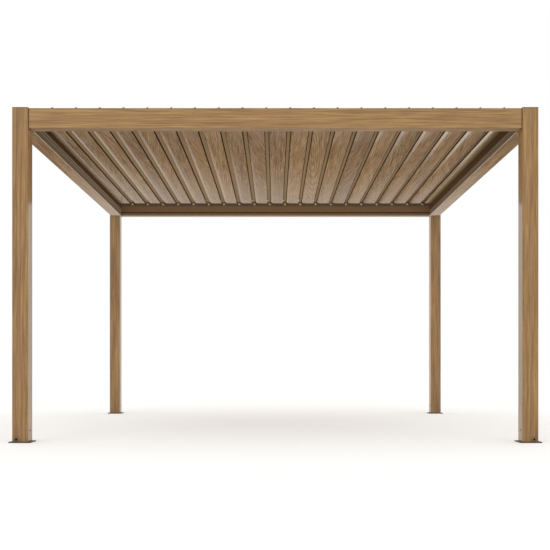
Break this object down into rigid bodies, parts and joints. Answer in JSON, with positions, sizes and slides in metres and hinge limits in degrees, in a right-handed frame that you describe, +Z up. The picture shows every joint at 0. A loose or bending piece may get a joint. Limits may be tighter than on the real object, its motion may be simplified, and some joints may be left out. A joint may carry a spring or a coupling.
{
  "type": "louvered pergola",
  "caption": "Square free-standing pergola on four posts, with gutter beams and a flat roof of coupled turning louvers that close edge over edge.",
  "frame": {"origin": "on the ground at the centre of the plan", "axes": "+Z up; -Y is the front, the side with the rain outlets; the louvers run along Y and lie side by side along X"},
  "size_m": [3.985, 3.985, 2.5488],
  "materials": {
    "oak_effect_frame": "oak-effect powder coating, satin",
    "oak_effect_louvers": "oak-effect powder coating, satin",
    "bronze_caps": "brown powder coating, satin",
    "bronze_feet": "brown powder coating, satin",
    "bronze_rails": "brown powder coating, satin",
    "oak_effect_outlets": "moulded, brown, satin"
  },
  "bodies": {
    "frame": {"front_left_post": "oak_effect_frame", "front_left_post_cap": "bronze_caps", "front_left_foot": "bronze_feet", "front_right_post": "oak_effect_frame", "front_right_post_cap": "bronze_caps", "front_right_foot": "bronze_feet", "back_left_post": "oak_effect_frame", "back_left_post_cap": "bronze_caps", "back_left_foot": "bronze_feet", "back_right_post": "oak_effect_frame", "back_right_post_cap": "bronze_caps", "back_right_foot": "bronze_feet", "front_beam": "oak_effect_frame", "back_beam": "oak_effect_frame", "left_beam": "oak_effect_frame", "right_beam": "oak_effect_frame", "front_pivot_rail": "bronze_rails", "back_pivot_rail": "bronze_rails", "front_left_rain_outlet": "oak_effect_outlets", "front_right_rain_outlet": "oak_effect_outlets"},
    "louver_01": {"louver_01": "oak_effect_louvers"},
    "louver_02": {"louver_02": "oak_effect_louvers"},
    "louver_03": {"louver_03": "oak_effect_louvers"},
    "louver_04": {"louver_04": "oak_effect_louvers"},
    "louver_05": {"louver_05": "oak_effect_louvers"},
    "louver_06": {"louver_06": "oak_effect_louvers"},
    "louver_07": {"louver_07": "oak_effect_louvers"},
    "louver_08": {"louver_08": "oak_effect_louvers"},
    "louver_09": {"louver_09": "oak_effect_louvers"},
    "louver_10": {"louver_10": "oak_effect_louvers"},
    "louver_11": {"louver_11": "oak_effect_louvers"},
    "louver_12": {"louver_12": "oak_effect_louvers"},
    "louver_13": {"louver_13": "oak_effect_louvers"},
    "louver_14": {"louver_14": "oak_effect_louvers"},
    "louver_15": {"louver_15": "oak_effect_louvers"},
    "louver_16": {"louver_16": "oak_effect_louvers"},
    "louver_17": {"louver_17": "oak_effect_louvers"},
    "louver_18": {"louver_18": "oak_effect_louvers"},
    "louver_19": {"louver_19": "oak_effect_louvers"},
    "louver_20": {"louver_20": "oak_effect_louvers"},
    "louver_21": {"louver_21": "oak_effect_louvers"}
  },
  "joints": [
    {"name": "louver_01_turn", "type": "hinge", "parent": "frame", "child": "louver_01", "pos_m": [-1.8795, 0, 2.492], "axis": [0, -1, 0], "range_deg": [0, 90]},
    {"name": "louver_02_turn", "type": "hinge", "parent": "frame", "child": "louver_02", "pos_m": [-1.69805, 0, 2.492], "axis": [0, -1, 0], "range_deg": [0, 90]},
    {"name": "louver_03_turn", "type": "hinge", "parent": "frame", "child": "louver_03", "pos_m": [-1.5166, 0, 2.492], "axis": [0, -1, 0], "range_deg": [0, 90]},
    {"name": "louver_04_turn", "type": "hinge", "parent": "frame", "child": "louver_04", "pos_m": [-1.33515, 0, 2.492], "axis": [0, -1, 0], "range_deg": [0, 90]},
    {"name": "louver_05_turn", "type": "hinge", "parent": "frame", "child": "louver_05", "pos_m": [-1.1537, 0, 2.492], "axis": [0, -1, 0], "range_deg": [0, 90]},
    {"name": "louver_06_turn", "type": "hinge", "parent": "frame", "child": "louver_06", "pos_m": [-0.97225, 0, 2.492], "axis": [0, -1, 0], "range_deg": [0, 90]},
    {"name": "louver_07_turn", "type": "hinge", "parent": "frame", "child": "louver_07", "pos_m": [-0.7908, 0, 2.492], "axis": [0, -1, 0], "range_deg": [0, 90]},
    {"name": "louver_08_turn", "type": "hinge", "parent": "frame", "child": "louver_08", "pos_m": [-0.60935, 0, 2.492], "axis": [0, -1, 0], "range_deg": [0, 90]},
    {"name": "louver_09_turn", "type": "hinge", "parent": "frame", "child": "louver_09", "pos_m": [-0.4279, 0, 2.492], "axis": [0, -1, 0], "range_deg": [0, 90]},
    {"name": "louver_10_turn", "type": "hinge", "parent": "frame", "child": "louver_10", "pos_m": [-0.24645, 0, 2.492], "axis": [0, -1, 0], "range_deg": [0, 90]},
    {"name": "louver_11_turn", "type": "hinge", "parent": "frame", "child": "louver_11", "pos_m": [-0.065, 0, 2.492], "axis": [0, -1, 0], "range_deg": [0, 90]},
    {"name": "louver_12_turn", "type": "hinge", "parent": "frame", "child": "louver_12", "pos_m": [0.11645, 0, 2.492], "axis": [0, -1, 0], "range_deg": [0, 90]},
    {"name": "louver_13_turn", "type": "hinge", "parent": "frame", "child": "louver_13", "pos_m": [0.2979, 0, 2.492], "axis": [0, -1, 0], "range_deg": [0, 90]},
    {"name": "louver_14_turn", "type": "hinge", "parent": "frame", "child": "louver_14", "pos_m": [0.47935, 0, 2.492], "axis": [0, -1, 0], "range_deg": [0, 90]},
    {"name": "louver_15_turn", "type": "hinge", "parent": "frame", "child": "louver_15", "pos_m": [0.6608, 0, 2.492], "axis": [0, -1, 0], "range_deg": [0, 90]},
    {"name": "louver_16_turn", "type": "hinge", "parent": "frame", "child": "louver_16", "pos_m": [0.84225, 0, 2.492], "axis": [0, -1, 0], "range_deg": [0, 90]},
    {"name": "louver_17_turn", "type": "hinge", "parent": "frame", "child": "louver_17", "pos_m": [1.0237, 0, 2.492], "axis": [0, -1, 0], "range_deg": [0, 90]},
    {"name": "louver_18_turn", "type": "hinge", "parent": "frame", "child": "louver_18", "pos_m": [1.20515, 0, 2.492], "axis": [0, -1, 0], "range_deg": [0, 90]},
    {"name": "louver_19_turn", "type": "hinge", "parent": "frame", "child": "louver_19", "pos_m": [1.3866, 0, 2.492], "axis": [0, -1, 0], "range_deg": [0, 90]},
    {"name": "louver_20_turn", "type": "hinge", "parent": "frame", "child": "louver_20", "pos_m": [1.56805, 0, 2.492], "axis": [0, -1, 0], "range_deg": [0, 90]},
    {"name": "louver_21_turn", "type": "hinge", "parent": "frame", "child": "louver_21", "pos_m": [1.7495, 0, 2.492], "axis": [0, -1, 0], "range_deg": [0, 90]}
  ],
  "couplings": [
    {"joint": "louver_02_turn", "follows": "louver_01_turn", "ratio": 1},
    {"joint": "louver_03_turn", "follows": "louver_01_turn", "ratio": 1},
    {"joint": "louver_04_turn", "follows": "louver_01_turn", "ratio": 1},
    {"joint": "louver_05_turn", "follows": "louver_01_turn", "ratio": 1},
    {"joint": "louver_06_turn", "follows": "louver_01_turn", "ratio": 1},
    {"joint": "louver_07_turn", "follows": "louver_01_turn", "ratio": 1},
    {"joint": "louver_08_turn", "follows": "louver_01_turn", "ratio": 1},
    {"joint": "louver_09_turn", "follows": "louver_01_turn", "ratio": 1},
    {"joint": "louver_10_turn", "follows": "louver_01_turn", "ratio": 1},
    {"joint": "louver_11_turn", "follows": "louver_01_turn", "ratio": 1},
    {"joint": "louver_12_turn", "follows": "louver_01_turn", "ratio": 1},
    {"joint": "louver_13_turn", "follows": "louver_01_turn", "ratio": 1},
    {"joint": "louver_14_turn", "follows": "louver_01_turn", "ratio": 1},
    {"joint": "louver_15_turn", "follows": "louver_01_turn", "ratio": 1},
    {"joint": "louver_16_turn", "follows": "louver_01_turn", "ratio": 1},
    {"joint": "louver_17_turn", "follows": "louver_01_turn", "ratio": 1},
    {"joint": "louver_18_turn", "follows": "louver_01_turn", "ratio": 1},
    {"joint": "louver_19_turn", "follows": "louver_01_turn", "ratio": 1},
    {"joint": "louver_20_turn", "follows": "louver_01_turn", "ratio": 1},
    {"joint": "louver_21_turn", "follows": "louver_01_turn", "ratio": 1}
  ]
}
